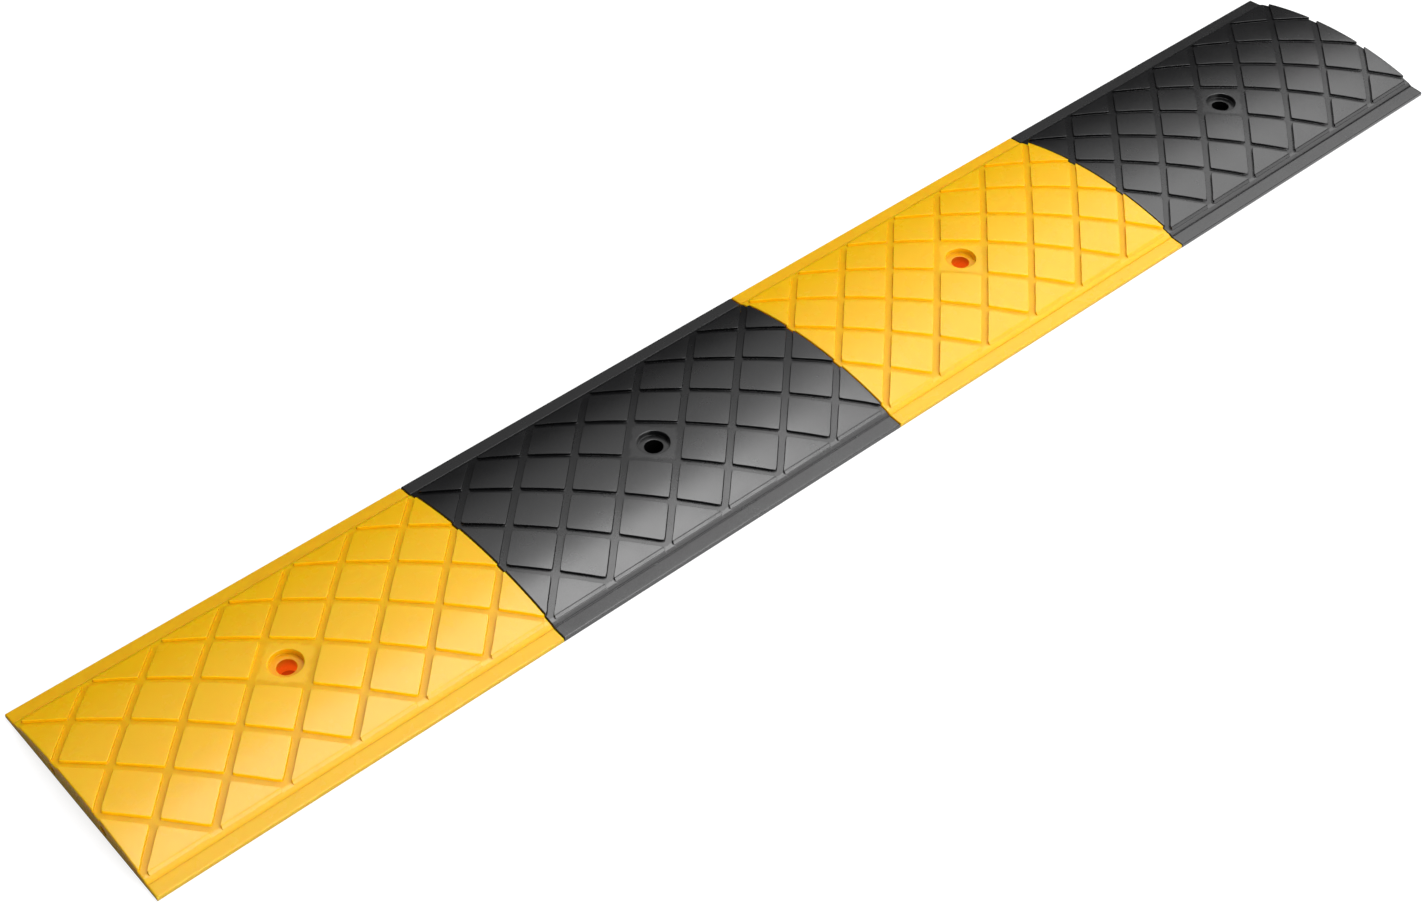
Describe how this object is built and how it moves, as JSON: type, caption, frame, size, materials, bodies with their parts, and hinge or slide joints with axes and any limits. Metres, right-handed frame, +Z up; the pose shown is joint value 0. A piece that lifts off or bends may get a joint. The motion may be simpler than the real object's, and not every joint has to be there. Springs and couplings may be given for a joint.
{
  "type": "speed ramp",
  "caption": "Low arched speed ramp of yellow and black moulded modules joined end to end, with a diamond tread, thin side lips and counterbored anchor holes, to slow wheels.",
  "frame": {"origin": "on the road, under the middle of the row", "axes": "+X along the row from the first yellow module to the last black one, +Y across the row, +Z up"},
  "size_m": [0.9994, 0.15, 0.015],
  "materials": {
    "yellow_plastic": "satin moulded plastic, coloured safety yellow right through",
    "black_plastic": "satin moulded plastic, coloured charcoal black right through",
    "dowel_nylon": "natural nylon rod"
  },
  "bodies": {
    "module_1": {"ramp_module_1_yellow": "yellow_plastic", "joining_dowel_1_near": "dowel_nylon", "joining_dowel_1_far": "dowel_nylon"},
    "module_2": {"ramp_module_2_black": "black_plastic", "joining_dowel_2_near": "dowel_nylon", "joining_dowel_2_far": "dowel_nylon"},
    "module_3": {"ramp_module_3_yellow": "yellow_plastic", "joining_dowel_3_near": "dowel_nylon", "joining_dowel_3_far": "dowel_nylon"},
    "module_4": {"ramp_module_4_black": "black_plastic"}
  },
  "joints": [
    {"name": "module_2_pull", "type": "slide", "parent": "module_1", "child": "module_2", "axis": [1, 0, 0], "range_m": [0, 0.03]},
    {"name": "module_3_pull", "type": "slide", "parent": "module_2", "child": "module_3", "axis": [1, 0, 0], "range_m": [0, 0.03]},
    {"name": "module_4_pull", "type": "slide", "parent": "module_3", "child": "module_4", "axis": [1, 0, 0], "range_m": [0, 0.03]}
  ]
}
